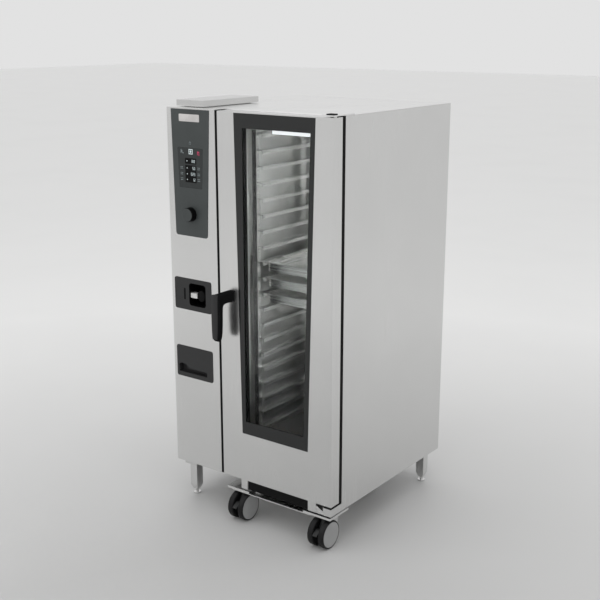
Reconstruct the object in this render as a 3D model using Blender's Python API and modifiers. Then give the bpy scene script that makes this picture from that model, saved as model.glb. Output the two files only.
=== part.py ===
"""Floor-standing combi steamer oven with a roll-in trolley.

Sizes are in millimetres, measured from the casing's left side (x), the door's
face (y, growing towards the back) and the floor (z). place() turns them into
metres about the part's origin, which is the middle of its footprint.
"""
import math

import bmesh
import bpy
from mathutils import Matrix, Vector

MM = 0.001
GAP = 0.3             # running or assembly gap between neighbouring pieces
SHEET = 2.0           # casing and cavity sheet
LAP = 1.0             # how far two members of one welded piece run into each other

# Casing
WIDTH = 877.0
DEPTH = 913.0         # door face to the back edge of the side panels
HEIGHT = 1807.0
CASE_FRONT = 79.0     # front edge of the side panels, behind the door
COLUMN_RIGHT = 279.0  # right edge of the control column
COLUMN_RADIUS = 18.0  # round front-left edge of the column
DOOR_BOTTOM = 194.0
SKIRT_BOTTOM = 150.0
TOE_TOP = 184.0
TOE_LEFT = 836.0
CASE_TOP = HEIGHT - SHEET

# Door
DOOR_LEFT = 292.0
DOOR_TOP = 1803.0
DOOR_DEPTH = 58.0
HINGE_X = 862.0
HINGE_Y = 30.0
PIN_RADIUS = 6.0
WINDOW_TOP = 1799.0
WINDOW_BOTTOM = 415.0
APRON_BOTTOM = 150.0
HANDLE_X = 345.0
HANDLE_Z = 1028.0
GRIP_FRONT = -73.0

# Cavity and trolley
CAVITY_LEFT = 300.0
CAVITY_RIGHT = 822.0
CAVITY_REAR = 760.0
CAVITY_FLOOR = 198.0
CAVITY_TOP = 1765.0
FAN_HEIGHTS = {"upper": 1370.0, "lower": 640.0}
FAN_Y = 430.0
RACK_MIDDLE = 590.5   # middle of the trolley's rack
LEVELS = 20
LEVEL_PITCH = 68.0
LOWEST_LEVEL = 416.0
PAN_LEVELS = (9, 10, 11)
CASTER_X = {"front_left": 391.0, "front_right": 828.0, "rear_left": 391.0, "rear_right": 650.0}
CASTER_Y = {"front_left": 50.0, "front_right": 50.0, "rear_left": 640.0, "rear_right": 640.0}
WHEEL_RADIUS = 62.5
CASTER_TRAIL = 35.0
DECK_BOTTOM = 132.0
DECK_RIGHT = 774.0    # the deck passes to the left of the oven's front right leg
RAIL_LEFT = 773.0     # left side of the oven's right base rail
LEG_PLACES = {
    "front_left": (50.0, 82.0),
    "front_right": (797.0, 124.0),
    "rear_left": (50.0, 831.0),
    "rear_right": (836.0, 831.0),
}

MIDDLE_X = WIDTH / 2
MIDDLE_Y = (DEPTH + GRIP_FRONT) / 2
AXES = {"x": 0, "y": 1, "z": 2}

for leftover in list(bpy.data.objects):
    bpy.data.objects.remove(leftover, do_unlink=True)


def new_collection(name):
    collection = bpy.data.collections.new(name)
    bpy.context.scene.collection.children.link(collection)
    return collection


PARTS = new_collection("combi_steamer_oven")
CUTTERS = new_collection("cutters")


def place(x, y, z):
    """A point in millimetres from the casing's left, door face and floor, in metres."""
    return Vector(((x - MIDDLE_X) * MM, (y - MIDDLE_Y) * MM, z * MM))


def material(name, colour, roughness, metallic):
    made = bpy.data.materials.new(name)
    made.use_nodes = True
    shader = made.node_tree.nodes["Principled BSDF"]
    shader.inputs["Base Color"].default_value = (*colour, 1.0)
    shader.inputs["Roughness"].default_value = roughness
    shader.inputs["Metallic"].default_value = metallic
    made.diffuse_color = (*colour, 1.0)
    return made


STEEL = material("brushed_steel", (0.62, 0.62, 0.61), 0.34, 1.0)
CAVITY_STEEL = material("cavity_steel", (0.55, 0.55, 0.54), 0.28, 1.0)
PANEL = material("panel_plastic", (0.075, 0.09, 0.095), 0.45, 0.0)
SCREEN = material("screen_glass", (0.02, 0.03, 0.035), 0.12, 0.0)
BLACK = material("black_plastic", (0.03, 0.03, 0.032), 0.42, 0.0)
RUBBER = material("black_rubber", (0.02, 0.02, 0.02), 0.7, 0.0)
GLASS = material("door_glass", (0.30, 0.33, 0.33), 0.05, 0.0)
LAMP = material("lamp_lens", (0.9, 0.92, 0.95), 0.3, 0.0)
CAST = material("cast_aluminium", (0.45, 0.45, 0.46), 0.5, 0.9)


# ---------------------------------------------------------------- shapes

def adopt(obj, name, collection, finish=None):
    """Name an object, give it its material and move it to its collection."""
    obj.name = name
    for owner in list(obj.users_collection):
        owner.objects.unlink(obj)
    collection.objects.link(obj)
    if finish:
        obj.data.materials.clear()
        obj.data.materials.append(finish)
    if collection is CUTTERS:
        obj.hide_render = True
        obj.display_type = "WIRE"
    return obj


def box(name, xs, ys, zs, finish=None, collection=None):
    low = place(xs[0], ys[0], zs[0])
    high = place(xs[1], ys[1], zs[1])
    bpy.ops.mesh.primitive_cube_add(size=1, location=(low + high) / 2)
    obj = bpy.context.object
    obj.scale = high - low
    bpy.ops.object.transform_apply(location=False, rotation=False, scale=True)
    return adopt(obj, name, collection or PARTS, finish)


def rounded(corners, radii, steps=4):
    """Points of a polygon whose corners are arcs; a radius of 0 keeps a corner sharp."""
    points = []
    count = len(corners)
    for index, corner in enumerate(corners):
        radius = radii[index] if isinstance(radii, (list, tuple)) else radii
        here = Vector(corner)
        if not radius:
            points.append(here)
            continue
        back = (Vector(corners[index - 1]) - here).normalized()
        ahead = (Vector(corners[(index + 1) % count]) - here).normalized()
        half = back.angle(ahead) / 2
        start = here + back * radius / math.tan(half)
        end = here + ahead * radius / math.tan(half)
        centre = here + (back + ahead).normalized() * radius / math.sin(half)
        spoke = start - centre
        sweep = spoke.angle_signed(end - centre)
        for step in range(steps + 1):
            turn = Matrix.Rotation(-sweep * step / steps, 2)
            points.append(centre + turn @ spoke)
    return [tuple(point) for point in points]


def rectangle(low, high):
    return [(low[0], low[1]), (high[0], low[1]), (high[0], high[1]), (low[0], high[1])]


def plate(name, outline, axis, span, finish=None, collection=None):
    """A flat outline, in the plane across the axis, extruded over a span of the axis.

    The outline's two numbers follow x, y, z order: (x, z) for a plate across y.
    """
    curve = bpy.data.curves.new(name, "CURVE")
    curve.dimensions = "2D"
    curve.fill_mode = "BOTH"
    curve.extrude = (span[1] - span[0]) / 2 * MM
    spline = curve.splines.new("POLY")
    spline.points.add(len(outline) - 1)
    spline.use_cyclic_u = True
    for point, (u, v) in zip(spline.points, outline):
        point.co = (u * MM, v * MM, 0, 1)
    guide = bpy.data.objects.new(name + "_outline", curve)
    bpy.context.scene.collection.objects.link(guide)
    middle = (span[0] + span[1]) / 2
    turn = {"x": ((0, 0, 1), (1, 0, 0), (0, 1, 0)),
            "y": ((1, 0, 0), (0, 0, -1), (0, 1, 0)),
            "z": ((1, 0, 0), (0, 1, 0), (0, 0, 1))}[axis]
    corner = {"x": (middle, 0, 0), "y": (0, middle, 0), "z": (0, 0, middle)}[axis]
    guide.matrix_world = Matrix.Translation(place(*corner)) @ Matrix(turn).to_4x4()
    return meshed(guide, name, finish, collection)


def meshed(guide, name, finish=None, collection=None):
    """Replace a curve object by the welded mesh of its shape."""
    bpy.context.view_layer.update()
    graph = bpy.context.evaluated_depsgraph_get()
    mesh = bpy.data.meshes.new_from_object(guide.evaluated_get(graph))
    shape = bmesh.new()
    shape.from_mesh(mesh)
    bmesh.ops.remove_doubles(shape, verts=shape.verts, dist=0.00001)
    bmesh.ops.recalc_face_normals(shape, faces=shape.faces)
    shape.to_mesh(mesh)
    shape.free()
    obj = bpy.data.objects.new(name, mesh)
    bpy.context.scene.collection.objects.link(obj)
    obj.matrix_world = guide.matrix_world.copy()
    bpy.data.objects.remove(guide, do_unlink=True)
    return adopt(obj, name, collection or PARTS, finish)


def rod(name, axis, centre, radius, span, finish=None, collection=None, sides=20):
    """A round bar along an axis: centre is its two other coordinates, span its ends."""
    middle = (span[0] + span[1]) / 2
    spot = list(centre)
    spot.insert(AXES[axis], middle)
    bpy.ops.mesh.primitive_cylinder_add(
        vertices=sides, radius=radius * MM, depth=(span[1] - span[0]) * MM, location=place(*spot))
    obj = bpy.context.object
    if axis != "z":
        obj.rotation_euler = (math.pi / 2, 0, 0) if axis == "y" else (0, math.pi / 2, 0)
    obj.data.shade_smooth()
    obj.data.set_sharp_from_angle(angle=math.radians(35))
    return adopt(obj, name, collection or PARTS, finish)


def turned(name, axis, centre, profile, finish, sides=24, collection=None):
    """A turned piece: profile is (position along the axis, radius) from end to end."""
    mesh = bpy.data.meshes.new(name)
    points = [(radius * MM, 0, along * MM) for along, radius in profile]
    edges = [(index, index + 1) for index in range(len(points) - 1)]
    mesh.from_pydata(points, edges, [])
    obj = bpy.data.objects.new(name, mesh)
    bpy.context.scene.collection.objects.link(obj)
    screw = obj.modifiers.new("turn", "SCREW")
    screw.steps = screw.render_steps = sides
    screw.use_merge_vertices = True
    screw.merge_threshold = 0.00001
    screw.use_smooth_shade = True
    spot = list(centre)
    spot.insert(AXES[axis], 0)
    turn = {"x": Matrix.Rotation(math.pi / 2, 4, "Y"),
            "y": Matrix.Rotation(-math.pi / 2, 4, "X"),
            "z": Matrix.Identity(4)}[axis]
    shift = {"x": (-MIDDLE_X * MM, 0, 0), "y": (0, -MIDDLE_Y * MM, 0), "z": (0, 0, 0)}[axis]
    home = place(*spot)
    home[AXES[axis]] = 0
    obj.matrix_world = Matrix.Translation(home + Vector(shift)) @ turn
    return adopt(obj, name, collection or PARTS, finish)


def combine(obj, tool, operation):
    """Join a hidden shape to a piece, or cut it away."""
    if tool.name not in CUTTERS.objects:
        adopt(tool, tool.name, CUTTERS)
    step = obj.modifiers.new(operation.lower(), "BOOLEAN")
    step.operation = operation
    step.solver = "EXACT"
    step.object = tool
    return obj


def add(obj, *tools):
    for tool in tools:
        combine(obj, tool, "UNION")
    return obj


def cut(obj, *tools):
    for tool in tools:
        combine(obj, tool, "DIFFERENCE")
    return obj


def helper_box(name, xs, ys, zs):
    return box(name, xs, ys, zs, collection=CUTTERS)


def mount_point(name, spot, parent=None):
    """An empty on a joint's axis, which the moving pieces hang on."""
    empty = bpy.data.objects.new(name, None)
    empty.empty_display_size = 0.05
    PARTS.objects.link(empty)
    empty.location = place(*spot)
    bpy.context.view_layer.update()
    if parent:
        hang(empty, parent)
    return empty


def hang(obj, parent):
    bpy.context.view_layer.update()
    world = obj.matrix_world.copy()
    obj.parent = parent
    obj.matrix_parent_inverse = parent.matrix_world.inverted()
    obj.matrix_world = world


# ---------------------------------------------------------------- outlines

def tapered(top_left, top_right, top, bottom_left, bottom_right, bottom, inset=0.0):
    """A four-cornered outline whose sides lean in towards the bottom."""
    return [(bottom_left + inset, bottom + inset), (bottom_right - inset, bottom + inset),
            (top_right - inset, top - inset), (top_left + inset, top - inset)]


def bezel_outline(inset=0.0):
    corners = tapered(36.0, 249.0, 1801.0, 47.0, 227.0, 1260.0, inset)
    return rounded(corners, (12.0, 12.0, 0, 0))


def screen_outline(inset=0.0):
    return rounded(tapered(69.0, 212.0, 1641.0, 75.0, 204.0, 1470.0, inset), 4.0)


def window_outline(inset=0.0):
    return tapered(380.0, 791.0, WINDOW_TOP, 404.0, 757.0, WINDOW_BOTTOM, inset)


SHOWER_PANEL = ((28.0, 926.0), (240.0, 1069.0))
SHOWER_POCKET = ((112.0, 948.0), (209.0, 1050.0))
FLAP = ((36.0, 973.0), (81.0, 1023.0))
DRAWER_PANEL = ((28.0, 610.0), (240.0, 755.0))


def grown(corner_pair, amount):
    (left, low), (right, high) = corner_pair
    return rectangle((left - amount, low - amount), (right + amount, high + amount))


# ---------------------------------------------------------------- casing

def build_column_front():
    inner = COLUMN_RADIUS - SHEET
    arc = [math.pi * 1.5 - math.pi / 2 * step / 6 for step in range(7)]
    outside = [(COLUMN_RADIUS + COLUMN_RADIUS * math.cos(a), COLUMN_RADIUS + COLUMN_RADIUS * math.sin(a))
               for a in arc]
    inside = [(COLUMN_RADIUS + inner * math.cos(a), COLUMN_RADIUS + inner * math.sin(a))
              for a in reversed(arc)]
    outline = ([(COLUMN_RIGHT, 30.0), (COLUMN_RIGHT, 0)] + outside + [(0, 40.0), (SHEET, 40.0)]
               + inside + [(COLUMN_RIGHT - SHEET, SHEET), (COLUMN_RIGHT - SHEET, 30.0)])
    obj = plate("column_front", outline, "z", (DOOR_BOTTOM, CASE_TOP - GAP), STEEL)
    through = (-5.0, 12.0)
    cut(obj,
        plate("cut_control", bezel_outline(-GAP), "y", through, collection=CUTTERS),
        plate("cut_shower", rounded(grown(SHOWER_PANEL, GAP), 10.0), "y", through, collection=CUTTERS),
        plate("cut_drawer", rounded(grown(DRAWER_PANEL, GAP), 10.0), "y", through, collection=CUTTERS))


def build_side_panels():
    left = [(40.0 + GAP, DOOR_BOTTOM), (CASE_FRONT, DOOR_BOTTOM), (CASE_FRONT, SKIRT_BOTTOM),
            (DEPTH, SKIRT_BOTTOM), (DEPTH, CASE_TOP - GAP), (40.0 + GAP, CASE_TOP - GAP)]
    plate("side_panel_left", left, "x", (0, SHEET), STEEL)
    right = [(0, SKIRT_BOTTOM), (DEPTH, SKIRT_BOTTOM), (DEPTH, CASE_TOP - GAP),
             (CASE_FRONT, CASE_TOP - GAP), (CASE_FRONT, TOE_TOP), (0, TOE_TOP)]
    panel = plate("side_panel_right", right, "x", (WIDTH - SHEET, WIDTH), STEEL)
    toe = (TOE_LEFT, WIDTH - SHEET + LAP)
    add(panel,
        helper_box("toe_front", toe, (0, SHEET), (SKIRT_BOTTOM, TOE_TOP)),
        helper_box("toe_top", toe, (LAP, CASE_FRONT), (TOE_TOP - SHEET, TOE_TOP)))


def build_top_and_rear():
    corner = COLUMN_RADIUS
    outline = rounded([(0, 0), (COLUMN_RIGHT, 0), (COLUMN_RIGHT, CASE_FRONT), (WIDTH, CASE_FRONT),
                       (WIDTH, DEPTH), (0, DEPTH)], (corner, 0, 0, 0, 0, 0), steps=6)
    plate("top_panel", outline, "z", (CASE_TOP, HEIGHT), STEEL)
    rear = box("rear_panel", (SHEET + GAP, WIDTH - SHEET - GAP), (903.0, 905.0), (157.0, CASE_TOP - GAP), STEEL)
    stubs = {"cable_gland": (90.0, 250.0, 16.0), "water_inlet_cold": (165.0, 235.0, 13.0),
             "water_inlet_soft": (215.0, 235.0, 13.0), "drain": (300.0, 215.0, 25.0)}
    for name, (x, z, radius) in stubs.items():
        add(rear, rod(name, "y", (x, z), radius, (904.0, DEPTH - LAP), collection=CUTTERS))
    lid = box("flue_box", (38.0, 188.0), (33.0, 403.0), (1811.0, 1836.0), STEEL)
    add(lid, helper_box("flue_neck", (60.0, 166.0), (60.0, 376.0), (HEIGHT + GAP, 1812.0)))
    cut(lid, helper_box("flue_hollow", (63.0, 163.0), (63.0, 373.0), (1800.0, 1834.0)))


def build_base():
    left = box("base_rail_left", (SHEET + GAP, 74.0), (58.0, 873.0), (SKIRT_BOTTOM, 188.0), STEEL)
    add(left,
        helper_box("base_pan", (SHEET + GAP, 296.0), (32.0, 902.0), (187.0, 189.5)),
        helper_box("base_pan_rear", (295.0, RAIL_LEFT - GAP), (764.0, 902.0), (187.0, 189.5)))
    cut(left, helper_box("rail_hollow_left", (6.0, 71.0), (61.0, 870.0), (140.0, 184.0)))
    right = box("base_rail_right", (RAIL_LEFT, WIDTH - SHEET - GAP), (96.0, 873.0), (SKIRT_BOTTOM, 188.0), STEEL)
    cut(right, helper_box("rail_hollow_right", (RAIL_LEFT + 3.0, 871.0), (99.0, 870.0), (140.0, 184.0)))
    for corner, (x, y) in LEG_PLACES.items():
        build_leg("leg_" + corner, x, y)


def build_leg(name, x, y):
    """A square tube with a pyramid end and a screwed foot."""
    half = 20.0
    leg = box(name, (x - half, x + half), (y - half, y + half), (44.0, 183.0), STEEL)
    bpy.ops.mesh.primitive_cone_add(
        vertices=4, radius1=11.0 * math.sqrt(2) * MM, radius2=half * math.sqrt(2) * MM,
        depth=21.0 * MM, location=place(x, y, 34.0), rotation=(0, 0, math.pi / 4))
    taper = adopt(bpy.context.object, name + "_taper", CUTTERS)
    add(leg, taper,
        rod(name + "_stem", "z", (x, y), 7.0, (5.0, 30.0), collection=CUTTERS, sides=12),
        rod(name + "_foot", "z", (x, y), 17.0, (0, 7.0), collection=CUTTERS, sides=20))


def build_front_frame():
    frame = box("front_frame", (282.0, WIDTH - SHEET - GAP), (80.0, 86.0), (189.5 + GAP, CASE_TOP - GAP), STEEL)
    cut(frame, helper_box("cavity_mouth", (368.0, 814.0), (70.0, 95.0), (205.0, 1755.0)))


# ---------------------------------------------------------------- cavity

def build_cavity():
    front = 86.0 + GAP
    left = box("cavity_wall_left", (CAVITY_LEFT - SHEET, CAVITY_LEFT), (front, CAVITY_REAR),
               (CAVITY_FLOOR - SHEET, CAVITY_TOP + SHEET), CAVITY_STEEL)
    for key, height in FAN_HEIGHTS.items():
        cut(left, rod("shaft_hole_" + key, "x", (FAN_Y, height), 11.0, (280.0, 320.0), collection=CUTTERS))
    box("cavity_wall_right", (CAVITY_RIGHT, CAVITY_RIGHT + SHEET), (front, CAVITY_REAR),
        (CAVITY_FLOOR - SHEET, CAVITY_TOP + SHEET), CAVITY_STEEL)
    between = (CAVITY_LEFT + GAP, CAVITY_RIGHT - GAP)
    box("cavity_ceiling", between, (front, CAVITY_REAR), (CAVITY_TOP, CAVITY_TOP + SHEET), CAVITY_STEEL)
    floor = box("cavity_floor", between, (front, CAVITY_REAR), (CAVITY_FLOOR - SHEET, CAVITY_FLOOR),
                CAVITY_STEEL)
    cut(floor, rod("drain_hole", "z", (560.0, 560.0), 22.0, (190.0, 205.0), collection=CUTTERS))
    box("cavity_wall_rear", (CAVITY_LEFT - SHEET, CAVITY_RIGHT + SHEET),
        (CAVITY_REAR + GAP, CAVITY_REAR + SHEET + GAP),
        (CAVITY_FLOOR - SHEET, CAVITY_TOP + SHEET), CAVITY_STEEL)
    build_baffle()


def build_baffle():
    """The guide plate between the fans and the rack, with one inlet for each fan."""
    baffle = box("air_baffle", (362.0, 364.0), (100.0, 735.0), (225.0, 1735.0), CAVITY_STEEL)
    fold = (CAVITY_LEFT + GAP, 363.0)
    add(baffle,
        helper_box("baffle_fold_front", fold, (100.0, 101.5), (1715.0, 1735.0)),
        helper_box("baffle_fold_rear", fold, (733.5, 735.0), (225.0, 1735.0)))
    for key, height in FAN_HEIGHTS.items():
        cut(baffle, rod("inlet_" + key, "x", (FAN_Y, height), 85.0, (355.0, 370.0),
                        collection=CUTTERS, sides=28))


def build_fans():
    for key, height in FAN_HEIGHTS.items():
        build_fan(key, height)
        turned("fan_motor_" + key, "x", (FAN_Y, height),
               [(278.0, 0), (278.0, 10.0), (297.5, 10.0), (297.5, 62.0), (290.0, 70.0),
                (190.0, 70.0), (180.0, 60.0), (180.0, 0)], CAST)
    build_heater()


def build_fan(key, height):
    """A radial fan wheel on its own shaft end, which runs in the motor's bore."""
    axle = mount_point("fan_axis_" + key, (330.0, FAN_Y, height))
    wheel = turned("fan_" + key, "x", (FAN_Y, height),
                   [(340.0, 0), (340.0, 28.0), (312.0, 30.0), (312.0, 140.0), (309.0, 140.0),
                    (309.0, 9.0), (280.0, 9.0), (280.0, 0)], CAST)
    blades = 10
    for index in range(blades):
        angle = 2 * math.pi * index / blades
        blade = helper_box(f"blade_{key}_{index}", (311.0, 348.0), (FAN_Y - 1.5, FAN_Y + 1.5),
                           (height + 70.0, height + 136.0))
        pivot = Matrix.Translation(place(0, FAN_Y, height))
        swing = Matrix.Rotation(angle, 4, "X")
        lean = Matrix.Translation((0, 0, 100 * MM)) @ Matrix.Rotation(0.6, 4, "X")
        bpy.context.view_layer.update()
        rest = Matrix.Translation((0, 0, -100 * MM)) @ pivot.inverted() @ blade.matrix_world
        blade.matrix_world = pivot @ swing @ lean @ rest
        add(wheel, blade)
    hang(wheel, axle)


def build_heater():
    """Two rings of tubular heater, one round each fan, and the run that joins them."""
    ring = 175.0
    tube = 6.5
    heater = None
    for key, height in FAN_HEIGHTS.items():
        bpy.ops.mesh.primitive_torus_add(
            major_segments=24, minor_segments=6, major_radius=ring * MM, minor_radius=tube * MM,
            location=place(330.0, FAN_Y, height), rotation=(0, math.pi / 2, 0))
        loop = bpy.context.object
        if heater is None:
            heater = adopt(loop, "heater_element", PARTS, STEEL)
        else:
            add(heater, adopt(loop, "heater_ring_" + key, CUTTERS))
    add(heater, rod("heater_run", "z", (330.0, FAN_Y), 6.0,
                    (FAN_HEIGHTS["lower"] + ring, FAN_HEIGHTS["upper"] - ring),
                    collection=CUTTERS, sides=10))


def build_steam_generator():
    tank = box("steam_generator", (40.0, 240.0), (560.0, 840.0), (300.0, 660.0), CAST)
    cut(tank, helper_box("tank_hollow", (43.0, 237.0), (563.0, 837.0), (303.0, 657.0)))
    cut(tank, rod("steam_port", "x", (700.0, 600.0), 18.0, (230.0, 250.0), collection=CUTTERS))


# ---------------------------------------------------------------- controls

def build_control_panel():
    bezel = plate("control_bezel", bezel_outline(), "y", (-2.0, 8.0), PANEL)
    cut(bezel,
        plate("screen_pocket", screen_outline(-GAP), "y", (-6.0, 0.5), collection=CUTTERS),
        rod("dial_hole", "y", (138.0, 1357.0), 4.3, (-6.0, 15.0), collection=CUTTERS))
    plate("display_screen", screen_outline(), "y", (-2.2, 0.2), SCREEN)
    axis = mount_point("dial_axis", (138.0, -18.0, 1357.0))
    knob = turned("dial_knob", "y", (138.0, 1357.0),
                  [(12.0, 0), (12.0, 4.0), (-2.6, 4.0), (-2.6, 31.0), (-6.0, 31.0), (-30.0, 28.5),
                   (-32.0, 26.0), (-32.0, 0)], PANEL, sides=32)
    hang(knob, axis)


def build_shower_panel():
    (left, low), (right, high) = SHOWER_POCKET
    bezel = plate("shower_bezel", rounded(grown(SHOWER_PANEL, 0), 10.0), "y", (-2.0, 5.0), PANEL)
    add(bezel, helper_box("cup_block", (left - 3, right + 3), (4.0, 78.0), (low - 3, high + 3)))
    cut(bezel,
        plate("cup_pocket", rounded(grown(SHOWER_POCKET, 0), 14.0), "y", (-6.0, 75.0), collection=CUTTERS),
        plate("flap_pocket", grown(FLAP, GAP), "y", (-6.0, 2.5), collection=CUTTERS),
        rod("hose_hole", "y", (168.0, 990.0), 9.0, (70.0, 85.0), collection=CUTTERS))
    shower = box("hand_shower", (148.0, 194.0), (10.0, 62.0), (966.0, 1022.0), BLACK)
    soften = shower.modifiers.new("soft_edges", "BEVEL")
    soften.width = 9 * MM
    soften.segments = 3
    add(shower,
        helper_box("shower_nozzle", (116.0, 150.0), (4.0, 34.0), (981.0, 1004.0)),
        rod("shower_hose", "y", (168.0, 990.0), 7.0, (60.0, 190.0), collection=CUTTERS, sides=12))
    hang(shower, mount_point("shower_slide", (160.0, 30.0, 990.0)))
    (left, low), (right, high) = FLAP
    flap = box("usb_flap", (left + GAP, right), (-1.6, 1.4), (low, high), PANEL)
    hang(flap, mount_point("flap_axis", (left + 1.5, -0.5, (low + high) / 2)))


def build_drawer():
    """The care-tablet drawer and the sleeve that it slides in."""
    sleeve = box("drawer_housing", (34.0, 234.0), (7.0, 240.0), (616.0, 749.0), BLACK)
    cut(sleeve, helper_box("sleeve_hollow", (37.0, 231.0), (0, 237.0), (619.0, 746.0)))
    front = plate("care_drawer", rounded(grown(DRAWER_PANEL, 0), 10.0), "y", (-2.0, 6.0), PANEL)
    add(front, helper_box("drawer_box", (39.0, 229.0), (4.0, 225.0), (621.0, 738.0)))
    pull = [(40.0, 630.0), (206.0, 630.0), (206.0, 652.0), (93.0, 653.0), (88.0, 668.0),
            (54.0, 672.0), (40.0, 664.0)]
    cut(front,
        helper_box("drawer_hollow", (41.5, 226.5), (28.0, 222.5), (624.0, 745.0)),
        plate("finger_pull", rounded(pull, 3.0, steps=2), "y", (-6.0, 24.0), collection=CUTTERS))
    hang(front, mount_point("drawer_slide", (134.0, 110.0, 680.0)))


# ---------------------------------------------------------------- door

def build_door():
    hinge = mount_point("door_axis", (HINGE_X, HINGE_Y, 1000.0))
    for piece in (build_door_skin(), build_door_frame(), build_drip_tray(), build_door_light()):
        hang(piece, hinge)
    for name, outline, depth in (
            ("door_glass_outer", window_outline(0.5), (0.5, 6.5)),
            ("door_glass_inner", rectangle((400.5, 440.5), (779.5, 1759.5)), (46.0, 52.0))):
        hang(plate(name, outline, "y", depth, GLASS), hinge)
    turn = mount_point("handle_axis", (HANDLE_X, -30.0, HANDLE_Z), hinge)
    hang(build_handle(), turn)
    hang(build_latch(), turn)
    build_hinges()
    build_gasket()


def build_door_skin():
    """The outer tray of the door, with two tabs reaching down beside the drip tray."""
    skin = box("door_skin", (DOOR_LEFT, WIDTH), (0, DOOR_DEPTH), (DOOR_BOTTOM, DOOR_TOP), STEEL)
    cut(skin, helper_box("door_hollow", (DOOR_LEFT + SHEET, WIDTH - SHEET), (SHEET, 70.0),
                         (DOOR_BOTTOM + SHEET, DOOR_TOP - SHEET)))
    for side, tab in (("left", (393.0, 428.0)), ("right", (758.0, 800.0))):
        add(skin, helper_box("tab_" + side, tab, (0.2, SHEET), (APRON_BOTTOM, DOOR_BOTTOM + LAP)))
    cut(skin,
        plate("window_hole", window_outline(), "y", (-5.0, 5.0), collection=CUTTERS),
        rod("skin_spindle_hole", "y", (HANDLE_X, HANDLE_Z), 7.0, (-5.0, 5.0), collection=CUTTERS),
        rod("upper_pin_hole", "z", (HINGE_X, HINGE_Y), PIN_RADIUS + GAP,
            (DOOR_TOP - 10, DOOR_TOP + 5), collection=CUTTERS),
        rod("lower_pin_hole", "z", (HINGE_X, HINGE_Y), PIN_RADIUS + GAP,
            (DOOR_BOTTOM - 5, DOOR_BOTTOM + 10), collection=CUTTERS))
    return skin


def build_door_frame():
    reach = SHEET + 0.5
    frame = box("door_frame", (DOOR_LEFT + reach, WIDTH - reach), (38.0, 57.5),
                (DOOR_BOTTOM + reach, DOOR_TOP - reach), BLACK)
    cut(frame,
        helper_box("inner_window", (400.0, 780.0), (30.0, 70.0), (440.0, 1760.0)),
        rod("frame_spindle_hole", "y", (HANDLE_X, HANDLE_Z), 7.0, (30.0, 70.0), collection=CUTTERS))
    return frame


def build_drip_tray():
    tray = box("door_drip_tray", (430.0, 756.0), (3.0, 46.0), (152.0, 193.7), BLACK)
    return cut(tray, helper_box("tray_hollow", (433.0, 753.0), (6.0, 43.0), (155.0, 200.0)))


def build_door_light():
    return box("door_light", (560.0, 748.0), (26.0, 37.7), (1722.0, 1775.0), LAMP)


def handle_section(centre, along, across, tall, count=12):
    """An oval ring of points square to the handle's path."""
    along = Vector(along).normalized()
    side = Vector((1, 0, 0)) - along * along.x
    side.normalize()
    other = along.cross(side)
    return [Vector(centre) + side * across * math.cos(a) + other * tall * math.sin(a)
            for a in (2 * math.pi * index / count for index in range(count))]


def build_handle():
    """A lever handle: an arm that leaves the door, and an oval grip that hangs from it."""
    path = [(350.0, -0.8, 1028.0, 19.0, 26.0), (347.0, -16.0, 1028.0, 19.0, 25.0),
            (340.0, -34.0, 1025.0, 21.0, 24.0), (331.0, -48.0, 1012.0, 23.0, 22.0),
            (325.0, -54.5, 990.0, 24.5, 18.0), (322.0, -56.0, 955.0, 25.0, 17.0),
            (321.0, -56.0, 905.0, 24.0, 16.5), (320.0, -56.0, 860.0, 20.0, 15.0),
            (320.0, -56.0, 838.0, 16.5, 13.0), (320.0, -56.0, 830.0, 11.0, 9.0)]
    shape = bmesh.new()
    rings = []
    for index, (x, y, z, across, tall) in enumerate(path):
        before = Vector(path[max(index - 1, 0)][:3])
        after = Vector(path[min(index + 1, len(path) - 1)][:3])
        direction = after - before if index else Vector((0, -1, 0))
        if index == len(path) - 1:
            direction = Vector((0, 0, -1))
        ring = handle_section((x, y, z), direction, across, tall)
        rings.append([shape.verts.new(place(*point)) for point in ring])
    for first, second in zip(rings, rings[1:]):
        for index in range(len(first)):
            after = (index + 1) % len(first)
            shape.faces.new((first[index], first[after], second[after], second[index]))
    shape.faces.new(reversed(rings[0]))
    shape.faces.new(rings[-1])
    bmesh.ops.recalc_face_normals(shape, faces=shape.faces)
    mesh = bpy.data.meshes.new("door_handle")
    shape.to_mesh(mesh)
    shape.free()
    mesh.shade_smooth()
    obj = bpy.data.objects.new("door_handle", mesh)
    bpy.context.scene.collection.objects.link(obj)
    return adopt(obj, "door_handle", PARTS, BLACK)


def build_latch():
    """The handle's spindle, with the catch that it turns behind the door."""
    latch = rod("door_latch", "y", (HANDLE_X, HANDLE_Z), 6.0, (-0.4, 74.0), CAST, sides=16)
    return add(latch, helper_box("catch", (302.0, HANDLE_X), (61.0, 68.0),
                                 (HANDLE_Z - 8.0, HANDLE_Z + 8.0)))


def build_hinges():
    pin = (HINGE_X, HINGE_Y)
    corners = [(816.0, 3.0), (874.0, 3.0), (874.0, 150.0), (816.0, 150.0)]
    upper = plate("hinge_upper", rounded(corners, 6.0, steps=2), "z", (HEIGHT + GAP, 1812.0), STEEL)
    add(upper, rod("upper_pin", "z", pin, PIN_RADIUS, (DOOR_TOP - 12, HEIGHT + 2), collection=CUTTERS, sides=16))
    lower = box("hinge_lower", (TOE_LEFT + 4, WIDTH - 3), (4.0, 70.0), (TOE_TOP + GAP, 190.0), STEEL)
    add(lower, rod("lower_pin", "z", pin, PIN_RADIUS, (188.0, DOOR_BOTTOM + 12), collection=CUTTERS, sides=16))


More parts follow.
